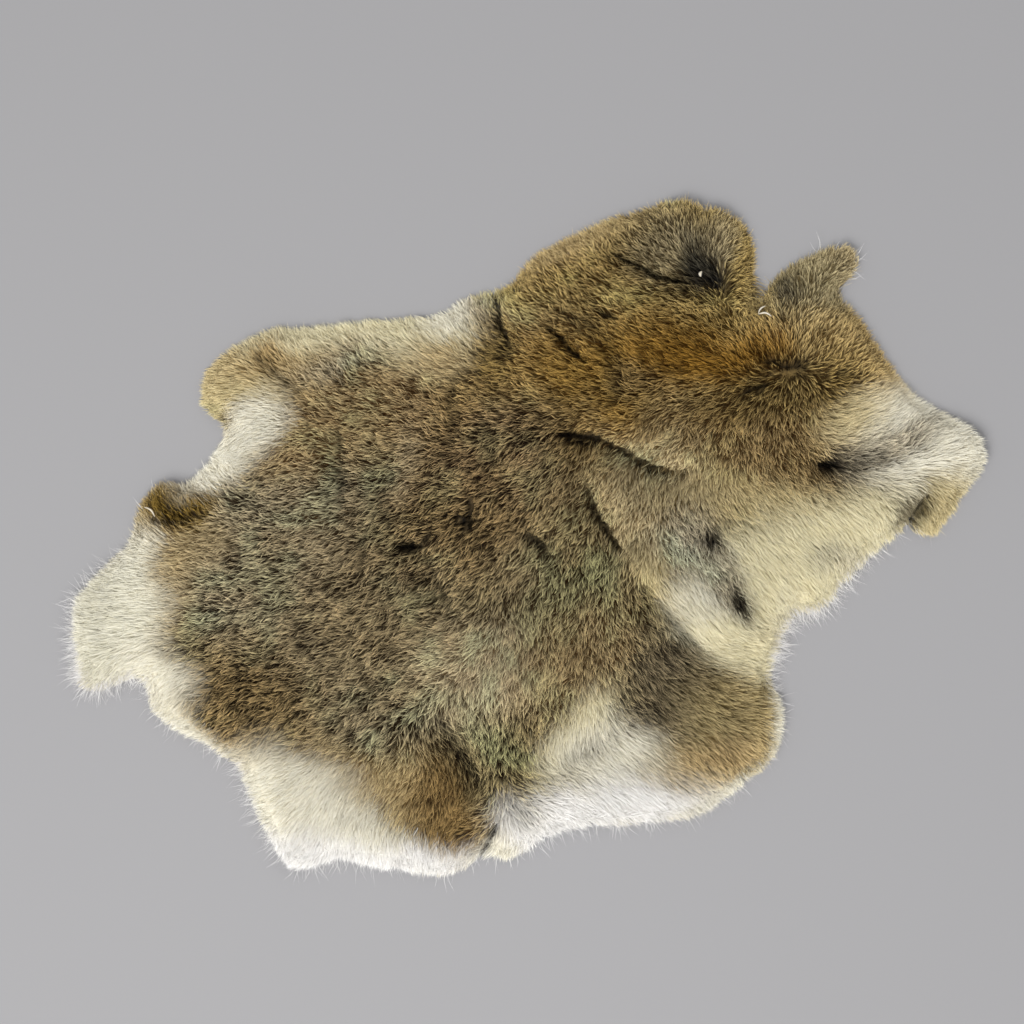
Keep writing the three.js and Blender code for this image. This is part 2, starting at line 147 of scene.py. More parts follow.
# Where each kind of coat lies, over the saddle's, painted in this order.
# edge is how soft the border is, as a share of the radius.
PATCHES = [
    # name, (x, y), (radius, radius), turn, edge, strength
    ("rump", (-117, -6), (75, 56), 0, 0.5, 1.0),
    ("rump", (-76, -66), (70, 36), 8, 0.5, 0.8),
    ("dark brown and painted shade", (-130, -74), (36, 24), -24, 0.7, 0.9),
    ("dark brown and painted shade", (-76, -30), (40, 34), 0, 0.9, 0.45),
    ("warm", (-76, 62), (50, 24), 4, 0.6, 0.9),
    ("warm", (-106, 42), (22, 14), 20, 0.7, 0.8),
    ("plum", (-20, 34), (34, 44), 0, 0.8, 0.9),
    ("plum", (-52, 4), (26, 16), 0, 0.9, 0.4),
    ("dark brown and painted shade", (-38, 6), (30, 16), 8, 0.9, 0.75),
    # Painted shade round the shoulder crease.
    ("dark brown and painted shade", (23, 46), (22, 7), -8, 0.9, 0.6),
    # Painted light on soft crests between the back's ripples and creases.
    ("pale", (-56, 32), (5, 14), 0, 0.9, 0.7),
    ("pale", (-97, 4), (14, 20), 0, 0.9, 0.5),
    ("pale", (-4, -18), (14, 14), 0, 0.9, 0.4),
    ("shoulder", (26, 108), (54, 38), 20, 0.5, 1.0),
    ("warm", (2, 92), (24, 12), 0, 0.7, 0.5),
    ("rust", (13, 78), (15, 9), -30, 0.8, 0.6),
    ("olive", (-30, 74), (12, 24), -20, 0.8, 0.5),
    ("rust", (58, 80), (60, 20), 3, 0.6, 0.95),
    ("rust", (32, 56), (20, 20), 0, 0.8, 0.6),
    ("deep rust", (86, 84), (34, 12), 4, 0.8, 0.9),
    ("head", (92, 42), (58, 24), -6, 0.5, 1.0),
    ("olive", (112, 64), (44, 12), 8, 0.7, 0.7),
    ("olive", (44, 62), (10, 16), 20, 0.8, 0.5),
    ("rust", (44, 53), (15, 7), -49, 0.7, 0.8),
    ("dark brown and painted shade", (48, 72), (12, 6), -15, 0.8, 0.6),
    ("cheek", (146, 90), (42, 21), -50, 0.5, 1.0),
    ("olive", (140, 68), (12, 17), 0, 0.7, 0.8),
    ("ear", (88, 128), (24, 34), 0, 0.5, 1.0),
    ("grey ear", (66, 130), (22, 15), 0, 0.6, 1.0),
    ("ear stub", (134, 120), (28, 16), 28, 0.5, 1.0),
    ("wedge", (147, 128), (10, 9), 0, 0.9, 0.7),
    ("bump", (-20, -58), (29, 20), 0, 0.6, 1.0),
    ("warm", (14, -58), (16, 26), -10, 0.8, 0.75),
    ("wedge", (56, 14), (26, 34), 15, 0.5, 1.0),
    ("warm", (20, 12), (14, 18), 0, 0.8, 0.4),
    ("straw", (112, 15), (50, 10), -8, 0.8, 0.75),
    ("cream", (126, -8), (54, 22), 24, 0.45, 1.0),
    ("cream", (92, -24), (26, 26), 0, 0.5, 1.0),
    ("straw", (58, -22), (7, 22), 34, 0.7, 0.9),
    ("ivory", (78, -36), (12, 18), 34, 0.7, 0.9),
    ("ash", (70, -4), (12, 14), 0, 0.8, 0.8),
    ("ash", (84, -16), (9, 22), 28, 0.8, 0.85),
    ("ash", (140, -10), (9, 6), 0, 0.9, 0.5),
    ("ivory", (180, 44), (36, 24), 0, 0.45, 1.0),
    ("straw", (146, 52), (16, 10), 35, 0.7, 0.8),
    ("ash", (166, 44), (24, 7), 28, 0.9, 0.8),
    ("soot", (134, 34), (7, 2.6), -4, 0.7, 0.95),
    ("soot", (148, 35), (13, 4), 12, 0.9, 0.5),
    ("straw", (186, 16), (9, 15), -35, 0.6, 0.9),
    ("soot", (172, 12), (4, 9), -35, 0.8, 0.7),
    ("cream", (23, -86), (10, 28), -38, 0.6, 0.95),
    ("ivory", (38, -98), (28, 16), 14, 0.6, 1.0),
    ("white", (36, -122), (52, 14), 8, 0.5, 1.0),
    ("warm", (36, -47), (16, 18), -20, 0.8, 0.8),
    ("leg grey", (62, -57), (16, 15), -30, 0.6, 1.0),
    ("leg grey", (72, -72), (26, 20), -10, 0.5, 1.0),
    ("leg tan", (92, -80), (24, 20), -10, 0.6, 1.0),
    ("leg rust", (82, -99), (22, 9), 14, 0.8, 0.8),
    ("cream", (94, -50), (28, 10), -24, 0.6, 0.9),
    ("ivory", (117, -84), (7, 44), 0, 0.7, 1.0),
    ("ivory", (98, -116), (34, 8), 30, 0.7, 1.0),
    ("white", (2, -132), (16, 16), 0, 0.5, 1.0),
    ("ash", (30, -96), (20, 5), 40, 0.9, 0.4),
    ("ash", (-6, -122), (11, 8), 0, 0.9, 0.4),
    ("tan", (-72, -112), (34, 9), -28, 0.8, 0.9),
    ("tan", (-48, -116), (14, 18), 20, 0.7, 0.9),
    ("brown", (-38, -122), (15, 26), 10, 0.6, 1.0),
    ("ivory", (-106, -122), (38, 24), -30, 0.4, 1.0),
    ("ivory", (-77, -137), (28, 14), -22, 0.4, 1.0),
    ("white", (-100, -146), (34, 12), -8, 0.6, 1.0),
    ("white", (-58, -148), (40, 10), 2, 0.6, 1.0),
    ("ivory", (-16, -144), (12, 6), 10, 0.6, 1.0),
    ("tan", (-168, -20), (12, 32), -6, 0.8, 0.85),
    ("tan", (-150, 0), (13, 9), 10, 0.8, 0.6),
    ("ivory", (-178, -10), (8, 22), -22, 0.6, 0.9),
    ("ivory", (-154, -89), (28, 8), -36, 0.6, 1.0),
    ("tail", (-190, -38), (24, 36), -12, 0.5, 1.0),
    ("ivory", (-170, -62), (20, 13), -30, 0.6, 1.0),
    ("turned", (-160, 16), (18, 11), 6, 0.35, 1.0),
    ("straw", (-130, 75), (27, 16), 8, 0.5, 1.0),
    ("tan", (-112, 82), (32, 9), 8, 0.9, 0.9),
    ("brown", (-112, 76), (12, 5), -38, 0.9, 0.6),
    ("ivory", (-124, 50), (12, 19), -38, 0.5, 1.0),
    ("ivory", (-144, 32), (18, 9), 34, 0.5, 1.0),
    ("cream", (-76, 95), (50, 8), 3, 0.7, 0.95),
    ("ash", (-84, 80), (20, 6), 15, 0.9, 0.7),
    ("cream", (-40, 88), (22, 12), 0, 0.7, 0.8),
    ("tan", (-41, 82), (14, 8), 0, 0.8, 0.85),
    ("ivory", (-36, 103), (14, 10), 20, 0.5, 0.9),
    ("olive", (-16, 86), (11, 15), 0, 0.4, 0.8),
    ("ash", (-22, 101), (6, 11), -20, 0.8, 0.55),
    ("tan", (16, 134), (34, 7), 24, 0.8, 0.8),
    ("grey ear", (84, 132), (8, 17), -28, 0.6, 1.0),
    ("slate", (75, 124), (9, 11), 10, 0.7, 0.95),
    ("slate", (84, 117.5), (8, 5), -20, 0.7, 0.95),
    ("soot", (79, 117), (7, 3.5), -10, 0.8, 0.8),
    ("slate", (116, 110), (6, 7), 30, 0.8, 0.8),
    ("soot", (82, -1), (5.5, 4.5), -20, 0.6, 1.0),
    ("soot", (96, -30), (4, 9), 34, 0.6, 1.0),
    ("soot", (-28, -102), (14, 6), -50, 0.9, 0.35),
]

# Which way the tips of the fur point.
COMB = [
    # region, [(x, y, heading), ...]
    ("tail", [(-189, -36, 185), (-202, -27, 160), (-200, -58, 205), (-171, -63, 222), (-166, -27, 181)]),
    ("rump", [(-135, -9, 188), (-135, -50, 197), (-148, -81, 218), (-90, 0, 195), (-90, -36, 200)]),
    ("loin", [(-90, -68, 206), (-104, 27, 182), (-58, -9, 213), (-45, -36, 203), (-58, -63, 210)]),
    ("turned-back edge", [(-162, 18, 122), (-144, 18, 150), (-152, 24, 110)]),
    ("bay", [(-130, 45, 218), (-117, 40, 200), (-136, 34, 140)]),
    ("left hind", [(-142, 74, 180), (-137, 63, 196), (-126, 88, 130), (-108, 90, 112), (-108, 63, 165)]),
    ("left flank", [(-81, 94, 115), (-50, 97, 120), (-86, 76, 150), (-58, 76, 160), (-68, 50, 172)]),
    ("saddle", [(-36, 63, 166), (-9, 68, 174), (-4, 32, 212)]),
    ("middle of the back", [(-22, 4, 216), (-45, 27, 202), (-27, -22, 224)]),
    ("armpit", [(-27, 99, 125), (-18, 108, 105), (-4, 94, 150)]),
    ("left shoulder", [(14, 130, 135), (32, 137, 120), (22, 112, 145), (40, 99, 150), (14, 90, 163)]),
    ("left ear", [(58, 135, 130), (50, 122, 166), (76, 137, 95)]),
    ("left ear's end", [(88, 142, 60), (97, 126, 6), (94, 110, -10)]),
    ("ear rim", [(72, 151, 95), (66, 112, 168), (80, 112, 150)]),
    ("nape", [(54, 81, 156), (86, 90, 146), (108, 92, 118), (40, 63, 172)]),
    ("behind the crown", [(76, 72, 168), (100, 77, 138), (113, 84, 102)]),
    ("neck", [(60, 58, 205), (80, 60, 212), (98, 65, 218), (94, 45, -80), (58, 50, -122), (122, 42, -58)]),
    ("crown", [(127, 83, 72), (139, 82, 52), (111, 67, 242), (124, 69, -72), (137, 70, -30)]),
    ("lower neck", [(104, 18, -48), (78, 46, -110), (118, 57, -75), (138, 56, -14)]),
    ("cheek", [(140, 54, 40), (137, 74, 52), (153, 94, 40), (166, 76, 36), (130, 99, 60)]),
    ("ear stub", [(135, 124, 78), (144, 126, 45), (119, 112, 112), (152, 120, 5)]),
    ("nose", [(166, 50, 42), (184, 50, 32), (198, 40, 0), (194, 22, -35), (180, 12, -60), (153, 36, 14)]),
    ("throat", [(144, 18, -45), (158, 4, -60), (140, -9, -60)]),
    ("chest", [(117, -9, -48), (122, -27, -55), (94, -9, -50)]),
    ("right chest", [(86, -27, -60), (72, -9, -66), (72, -36, -52), (94, -50, -30), (76, 8, -60)]),
    ("wedge", [(50, 18, -106), (40, -9, -110), (22, 36, 236), (14, 0, 236), (27, -27, 250), (50, -27, -62)]),
    ("foreleg root", [(54, -45, -58), (63, -54, -22), (68, -72, -26), (50, -68, -52)]),
    ("foreleg", [(86, -54, -8), (108, -54, 2), (94, -72, -12), (110, -77, -5)]),
    ("foreleg's end", [(86, -99, -50), (104, -94, -35)]),
    ("bump", [(-38, -48, 184), (-18, -60, 250), (-9, -36, 262), (14, -50, 262), (-24, -36, 215)]),
    ("belly side", [(-4, -68, 268), (18, -81, 262), (-22, -72, 264), (-36, -90, -60), (-32, -117, 262)]),
    ("right flank", [(-81, -90, 214), (-63, -108, 240), (-32, -140, 268)]),
    ("right hind", [(-117, -99, 214), (-121, -117, 204), (-104, -135, 234)]),
    ("right belly", [(-81, -135, 262), (-58, -140, 268)]),
    ("belly tuft", [(-24, -124, 185), (-18, -136, 235), (-9, -137, 262), (-2, -126, -50), (4, -116, -20)]),
    ("belly", [(22, -108, -32), (40, -94, -38), (32, -126, -48), (68, -108, -36), (76, -122, -50)]),
]

# Where the fur parts or sinks, with painted shade along it. Where that shade is dark enough the hairs stop at
# it, so that it stays open.
PARTINGS = [
    # name, path, half width, depth, darkness of its painted shade
    ("shoulder hollow", [(14.5, 46.5), (23, 46), (32, 45)], 2.5, 3.0, 0.95),
    ("shoulder", [(32, 44.5), (44, 39.5), (54, 33), (61, 31), (70, 29.5)], 0.9, 2.5, 0.9),
    ("chest", [(25, 24), (31.5, 9), (41.5, -5.5)], 0.9, 2.5, 0.9),
    ("chest branch", [(54, 4.5), (41.5, -5.5)], 0.7, 1.5, 0.4),
    ("armpit", [(-15, 108), (-13.5, 97), (-8, 85.5)], 1.5, 3.0, 0.85),
    ("armpit shade", [(-16, 82), (-6, 87)], 3.0, 1.5, 0.5),
    ("shoulder wrinkle", [(7, 96), (11, 93), (15, 89.5), (19, 84), (25, 79)], 1.2, 2.5, 0.85),
    ("shoulder knot", [(30, 103.5), (34, 101), (39, 99)], 1.4, 2.0, 0.7),
    ("shoulder shade", [(14, 102), (30, 92), (40, 76), (36, 60)], 4.5, 1.0, 0.35),
    ("ear fold", [(37, 128), (49.5, 122.5), (60.5, 117), (72, 115.5)], 1.4, 2.5, 0.75),
    ("ear fold shade", [(60, 112), (80, 109), (94, 114)], 3.0, 1.0, 0.3),
    ("nape", [(96.5, 66), (108, 70.5)], 1.3, 2.5, 0.85),
    ("jaw", [(129, 34), (139, 33)], 1.6, 2.5, 0.8),
    ("saddle wrinkle", [(-61, -4), (-48.5, -3.2)], 1.9, 3.0, 0.95),
    ("saddle wrinkle end", [(-48.5, -3.2), (-44, 4)], 1.2, 2.0, 0.75),
    ("saddle star", [(-32.5, 11), (-27, 7.5), (-19.5, 9)], 1.5, 3.0, 0.95),
    ("saddle star arm", [(-26, 19), (-27, 7.5), (-28, 3)], 1.2, 2.0, 0.8),
    ("mid back", [(-2, 3), (4, -1), (10, -7)], 1.1, 2.0, 0.8),
    ("loin", [(-48, -7), (-40.5, -22.5), (-35, -36)], 2.2, 1.5, 0.5),
    ("haunch", [(-86.5, 49), (-85, 31), (-85.5, 15)], 2.6, 1.5, 0.54),
    ("back ripple", [(-76, 2), (-76, -16)], 1.8, 1.0, 0.54),
    ("back ripple two", [(-62, 30), (-66, 16), (-64, 4)], 2.6, 1.0, 0.35),
    ("spine", [(-34, 74), (-36, 63), (-34, 49), (-40, 36)], 2.6, 1.5, 0.45),
    ("spine two", [(-22, 56), (-18, 40), (-20, 26)], 3.4, 1.0, 0.35),
    ("foreleg", [(48, -22), (60, -31), (68, -42), (78, -50)], 2.2, 1.5, 0.35),
    ("flank", [(-42, -80), (-30, -98), (-22, -112)], 3.4, 1.0, 0.4),
    ("belly notch", [(-24, -146), (-19, -138), (-14, -128)], 1.6, 3.0, 0.6),
    ("turned edge", [(-172, 8), (-160, 8), (-146, 12)], 1.5, 2.5, 0.5),
    ("nose fold", [(170, 3), (174, 12), (180, 20)], 1.4, 2.0, 0.6),
    ("nape spot", [(140, 76), (142, 72)], 3.0, 1.0, 0.5),
    ("crown", [(105, 79), (111, 80)], 1.3, 1.5, 0.7),
    ("crown two", [(110, 78), (116, 77), (124, 77.5)], 1.8, 1.5, 0.85),
    ("left hind", [(-124, 82), (-112, 73), (-104, 66)], 2.0, 1.0, 0.3),
]

# A parting's darkness is painted shade: it darkens the hairs over it and the down pad around it.
OPEN_FROM = 0.55  # the darkness from which hairs stop at a parting
STOP_BETWEEN = (0.3, 1.1)  # how many half widths from its middle they stop
BRINK = 0.6  # hairs that grow further out than this, but nearer than they would stop, lean over it
SHADE_OUT_TO = 1.4  # how many half widths out a parting's dark ends
DENT_WIDTH = 1.6  # how much wider than the parting its dent in the fur is
FAR = 9.0  # the most half widths that a distance from a path counts

# Stretches of the rim with long fine hairs past the fur's edge. share is how thickly they stand.
WISPY = [
    # (x, y), radius, share
    ((-204, -58), 28, 0.3),
    ((142, -22), 24, 0.14),
    ((116, -44), 26, 0.16),
    ((142, 134), 16, 0.01),
    ((-118, -124), 40, 0.08),
    ((-196, -20), 20, 0.05),
    ((40, -132), 60, 0.04),
]

# Small slivers of bare skin that curl up among the fur.
CURLS = [
    # (x, y), heading, length, width
    ((-171, 12), -42, 6.5, 0.9),
    ((104.6, 102.9), 49, 5.2, 0.8),
    ((105.8, 100.5), -9, 6.0, 0.9),
    ((77, 119), 80, 2.6, 1.6),
]
CURL_STEPS = 8
CURL_SECTION = ((-1, 0.0), (0, 0.35), (1, 0.05), (0, -0.25))  # across in half widths, and up in mm
CURL_LIFT = 0.4  # how far above the fur's surface a sliver's ends lie
CURL_RISE = 0.5  # how much higher its middle is
CURL_SWING = 0.18  # how far its middle lies to one side, as a share of its length

LAMPS = [
    # name, (x, y, z) and size in metres, watts
    ("key", (-0.4, -0.75, 1.6), 1.1, 39),
    ("fill", (0.5, 0.9, 1.6), 1.4, 8),
]
# The camera looks straight down at centre, and width is how much it takes in at the height plane.
VIEW = dict(centre=(-8, 12), width=460.8, plane=9, distance=1400, sensor=36)


# Numbers and fields

def linear(rgb):
    """0-255 sRGB to linear."""
    c = np.asarray(rgb, float) / 255
    return np.where(c <= 0.04045, c / 12.92, ((c + 0.055) / 1.055) ** 2.4)


def smoothstep(x, low, high):
    t = np.clip((x - low) / (high - low), 0, 1)
    return t * t * (3 - 2 * t)


def mix(a, b, t):
    return a + (b - a) * t


def heading_of(degrees):
    """The unit vector of a heading."""
    a = np.radians(degrees)
    return np.stack([np.cos(a), np.sin(a)], -1)


def turned(way, degrees):
    """Each direction turned by its own angle."""
    a = np.radians(degrees)
    c, s = np.cos(a), np.sin(a)
    return np.stack([way[:, 0] * c - way[:, 1] * s, way[:, 0] * s + way[:, 1] * c], -1)


def unit(v):
    return v / np.maximum(np.linalg.norm(v, axis=-1, keepdims=True), 1e-9)


def noise(xy, scale, seed):
    """Smooth noise from -1 to 1, with bumps about scale mm across."""
    table = np.random.default_rng(seed).uniform(-1, 1, (256, 256))
    p = np.asarray(xy) / scale + 100
    cell = np.floor(p).astype(int)
    t = p - cell
    t = t * t * (3 - 2 * t)
    i, j = cell[..., 0] % 256, cell[..., 1] % 256
    low = mix(table[i, j], table[(i + 1) % 256, j], t[..., 0])
    high = mix(table[i, (j + 1) % 256], table[(i + 1) % 256, (j + 1) % 256], t[..., 0])
    return mix(low, high, t[..., 1])


def uneven(xy, name):
    scale, seed, size = UNEVEN[name]
    return size * noise(xy, scale, seed)


def uneven_pair(xy, name):
    """Two numbers for each point, from this seed and the next."""
    scale, seed, size = UNEVEN[name]
    return size * np.stack([noise(xy, scale, seed), noise(xy, scale, seed + 1)], -1)


def grid_of(count):
    """Every point of a grid that has count points each way, in whole numbers."""
    return np.stack(np.meshgrid(*(np.arange(n) for n in count), indexing="ij"), -1).reshape(-1, 2)


def neighbours(grid):
    """The four neighbours of each point within a grid's border."""
    return [grid[:-2, 1:-1], grid[2:, 1:-1], grid[1:-1, :-2], grid[1:-1, 2:]]


def soften(grid):
    return (sum(neighbours(np.pad(grid, 1, mode="edge"))) + 2 * grid) / 6


def across_path(xy, path, width):
    """How many half widths each point lies from a ragged path that narrows to its ends, up to FAR."""
    path = np.array(path, float)
    margin = 3 * width + 2
    near = np.all((xy > path.min(0) - margin) & (xy < path.max(0) + margin), axis=1)
    p = xy[near]
    p = p + uneven_pair(p, "parting")
    least = np.full(len(p), FAR)
    legs = np.diff(path, axis=0)
    lengths = np.linalg.norm(legs, axis=1)
    start = 0
    for a, leg, length in zip(path, legs, lengths):
        t = np.clip((p - a) @ leg / length**2, 0, 1)
        share = (start + t * length) / lengths.sum()
        half = width * mix(0.4, 1, np.sin(np.pi * share))
        least = np.minimum(least, np.linalg.norm(p - a - t[:, None] * leg, axis=1) / half)
        start += length
    result = np.full(len(xy), FAR)
    result[near] = least
    return result


class Pelt:
    """The fur's surface, the underside, and the distance inside the rim, on a grid of 1 mm."""

    MARGIN = 16  # how far the grid reaches past the solid
    CLEAR = 100  # how far above and below the solid the rays start
    RIM_THICKNESS = 3.4  # thinner than this is a lock, outside the slab's rim
    FALL = 0.55  # how fast the fur's surface falls away outside the rim
    LEAST_FUR = 1.0  # how high the fur's surface stays over the underside
    AT_A_TIME = 4000  # how many points are measured against the rim in one go

    def __init__(self, node):
        low, high = (np.array(c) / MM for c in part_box(node.name))
        self.low = np.floor(low[:2]) - self.MARGIN
        self.size = (np.ceil(high[:2]) + self.MARGIN - self.low).astype(int) + 1
        points = grid_of(self.size) + self.low
        top, under = (grid.reshape(self.size) for grid in self.heights(node, points))
        inside = top - under > self.RIM_THICKNESS
        distance, nearest = self.to_rim(inside)
        self.inset = np.where(inside, distance, -distance)
        for _ in range(3):
            self.inset = soften(self.inset)
        self.outward = -unit(np.stack(np.gradient(self.inset), -1))
        self.under = np.where(inside, under, under[nearest])
        self.top = np.where(inside, top, top[nearest] - self.FALL * distance)
        for _, path, width, depth, _ in PARTINGS:
            across = across_path(points, path, DENT_WIDTH * width).reshape(self.size)
            self.top -= depth * np.clip(1 - across**2, 0, 1)
        self.top = np.maximum(self.top, self.under + self.LEAST_FUR)

    def heights(self, node, points):
        """The solid's top and underside at each point, or 0 where there is none."""
        corners = [v.co / MM for v in node.data.vertices]
        tree = BVHTree.FromPolygons(corners, [p.vertices for p in node.data.polygons])
        down, up = Vector((0, 0, -1)), Vector((0, 0, 1))
        top, under = np.zeros(len(points)), np.zeros(len(points))
        for k, (x, y) in enumerate(points):
            hit = tree.ray_cast(Vector((x, y, self.CLEAR)), down)[0]
            if hit is not None:
                top[k] = hit.z
                under[k] = tree.ray_cast(Vector((x, y, -self.CLEAR)), up)[0].z
        return top, under

    def to_rim(self, inside):
        """Each grid point's distance to the nearest rim cell, and that cell."""
        rim = inside.copy()
        rim[1:-1, 1:-1] &= ~np.all(neighbours(inside), axis=0)
        cells = np.argwhere(rim)
        points = grid_of(inside.shape).astype(np.float32)
        distance, which = np.empty(len(points)), np.empty(len(points), int)
        for start in range(0, len(points), self.AT_A_TIME):
            part = slice(start, start + self.AT_A_TIME)
            d2 = ((points[part, None] - cells.astype(np.float32)) ** 2).sum(-1)
            which[part] = d2.argmin(1)
            distance[part] = np.sqrt(d2.min(1))
        nearest = tuple(cells[which].T.reshape(2, *inside.shape))
        return distance.reshape(inside.shape), nearest

    def at(self, grid, xy):
        """A grid's value at each point, between its four nearest grid points."""
        p = np.clip(xy - self.low, 0, self.size - 1.001)
        cell = p.astype(int)
        i, j = cell[:, 0], cell[:, 1]
        t = p - cell
        if grid.ndim == 3:
            t = t[:, :, None]
        low = mix(grid[i, j], grid[i + 1, j], t[:, 0])
        high = mix(grid[i, j + 1], grid[i + 1, j + 1], t[:, 0])
        return mix(low, high, t[:, 1])


def coat_at(xy):
    """The coat at each point: its light and dark as linear colours, and its length, clump and share."""
    kinds = {
        name: np.array([*linear(k["light"]), *linear(k["dark"]), k["length"], k["clump"], k["share"]])
        for name, k in COATS.items()
    }
    p = xy + (uneven_pair(xy, "coat's border") + uneven_pair(xy, "coat's border, fine"))
    coat = np.repeat(kinds["saddle"][None], len(xy), 0)
    for name, at, radii, turn, edge, strength in PATCHES:
        along = heading_of(turn)
        across = np.array([-along[1], along[0]])
        d = p - at
        r = np.hypot(d @ along / radii[0], d @ across / radii[1])
        weight = strength * (1 - smoothstep(r, 1 - edge, 1 + edge))
        coat = mix(coat, kinds[name], weight[:, None])
    # Brown coats are a little warmer, and uneven in warmth and in lightness. The uneven lightness is partly
    # mottling and partly painted light and shade of the fur's soft crests and hollows.
    brown = 1 - smoothstep(coat[:, 3:6].mean(1, keepdims=True), 0.15, 0.5)
    warmer = (WARMTH + uneven(xy, "warmth")[:, None]) * (1, 0.2, -1)
    lighter = uneven(xy, "lightness")[:, None]
    colours = np.minimum(coat[:, :6] * (1 + brown * np.tile(warmer + lighter, 2)), 1)
    length, clump, share = coat[:, 6:].T
    return {"light": colours[:, :3], "dark": colours[:, 3:], "length": length, "clump": clump, "share": share}


def parting_shade_at(xy):
    """How dark a parting's painted shade makes the fur at each point, from 0 to 1."""
    dark = np.zeros(len(xy))
    for _, path, width, _, shade_darkness in PARTINGS:
        dark = np.maximum(dark, shade_darkness * np.clip(SHADE_OUT_TO - across_path(xy, path, width), 0, 1))
    return dark


def comb_at(xy, pelt):
    """Which way the fur lies at each point: the comb's own headings, turned outwards near the rim."""
    way = np.zeros((len(xy), 2))
    for _, rows in COMB:
        for x, y, heading in rows:
            weight = 1 / (((xy - (x, y)) ** 2).sum(1) + COMB_BLEND) ** 2
            way += weight[:, None] * heading_of(heading)
    way = unit(way)
    outward = pelt.at(pelt.outward, xy)
    near_rim = 1 - smoothstep(pelt.at(pelt.inset, xy), *RIM_TURN)
    lack = np.maximum(RIM_LEAN - (way * outward).sum(1), 0) * near_rim
    return unit(way + lack[:, None] * outward)


def stop_at_partings(root, tip):
    """Hairs that would lie over a parting end before it, so that it stays open. Those on its brink don't."""
    share = np.ones(len(root))
    border = RNG.uniform(*STOP_BETWEEN, len(root))
    for _, path, width, _, shade_darkness in PARTINGS:
        if shade_darkness < OPEN_FROM:
            continue
        at_root = across_path(root, path, width)
        on_brink = (at_root > BRINK) & (at_root < border)
        for t in np.linspace(1, 0.25, 9):
            over = across_path(mix(root, tip, t), path, width) < border
            share[over & ~on_brink] = t - 0.09
    return mix(root, tip, share[:, None])


def hold_in(tip, pelt, reach):
    """Tips that would lie further than reach outside the rim are drawn back to it."""
    over = np.maximum(-pelt.at(pelt.inset, tip) - reach, 0)
    return tip - over[:, None] * pelt.at(pelt.outward, tip)


def loose_grid(pelt, pitch):
    """A point at random in each square of a grid over the pelt, and the number of squares each way."""
    count = (pelt.size / pitch).astype(int)
    squares = grid_of(count)
    return (squares + RNG.uniform(0, 1, squares.shape)) * pitch + pelt.low, count


def scatter(pelt, count, least_inset):
    """About count evenly scattered points further than least_inset inside the rim."""
    area = np.count_nonzero(pelt.inset > least_inset)
    xy, _ = loose_grid(pelt, math.sqrt(area / count))
    return xy[pelt.at(pelt.inset, xy) > least_inset]


# Meshes

def new_object(name, mesh, material):
    mesh.materials.append(material)
    piece = bpy.data.objects.new(name, mesh)
    bpy.context.scene.collection.objects.link(piece)
    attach(piece, "root")
    return piece


def fill_mesh(name, points, corners, sizes):
    """A smooth mesh from its points in mm, all faces' corners in a row, and each face's corner count."""
    mesh = bpy.data.meshes.new(name)
    mesh.vertices.add(len(points))
    mesh.vertices.foreach_set("co", (points * MM).astype(np.float32).ravel())
    mesh.loops.add(len(corners))
    mesh.loops.foreach_set("vertex_index", corners.astype(np.int32))
    mesh.polygons.add(len(sizes))
    starts = np.concatenate([[0], np.cumsum(sizes)[:-1]])
    mesh.polygons.foreach_set("loop_start", starts.astype(np.int32))
    mesh.polygons.foreach_set("use_smooth", np.ones(len(sizes), bool))
    mesh.update(calc_edges=True)
    return mesh


def paint(mesh, **values):
    """Stores values on the mesh's points: a colour where a row has 3 numbers, else a number."""
    for name, data in values.items():
        if data.ndim == 2:
            layer = mesh.attributes.new(name, "FLOAT_COLOR", "POINT")
            rgba = np.concatenate([data, np.ones((len(data), 1))], 1)
            layer.data.foreach_set("color", rgba.astype(np.float32).ravel())
        else:
            layer = mesh.attributes.new(name, "FLOAT", "POINT")
            layer.data.foreach_set("value", data.astype(np.float32))


def grid_sheet(pelt, name, spacing, inset, heights):
    """A closed sheet over all that lies further than inset inside the rim, and where its points are.

    heights gives its top and its underside at each point.
    """
    count = (pelt.size / spacing).astype(int)
    xy = grid_of(count) * spacing + pelt.low
    keep = (pelt.at(pelt.inset, xy) > inset).reshape(count)
    cells = np.argwhere(keep[:-1, :-1] & keep[1:, :-1] & keep[1:, 1:] & keep[:-1, 1:])
    steps = np.array([(0, 0), (1, 0), (1, 1), (0, 1)])
    quads = np.ravel_multi_index((cells[:, None] + steps).transpose(2, 0, 1), count)
    used, quads = np.unique(quads, return_inverse=True)
    quads = quads.reshape(-1, 4)
    xy = xy[used]
    edges = np.stack([quads, np.roll(quads, -1, 1)], -1).reshape(-1, 2)
    known = set(map(tuple, edges))
    border = np.array([e for e in map(tuple, edges) if (e[1], e[0]) not in known])
    rim = np.unique(border)
    for _ in range(3):
        gap = pelt.at(pelt.inset, xy[rim]) - inset
        xy[rim] += gap[:, None] * pelt.at(pelt.outward, xy[rim])
    n = len(xy)
    top, under = heights(xy)
    points = np.concatenate([np.column_stack([xy, top]), np.column_stack([xy, under])])
    walls = np.stack([border[:, 1], border[:, 0], border[:, 0] + n, border[:, 1] + n], -1)
    faces = np.concatenate([quads, quads[:, ::-1] + n, walls])
    return fill_mesh(name, points, faces.ravel(), np.full(len(faces), 4)), points[:, :2]


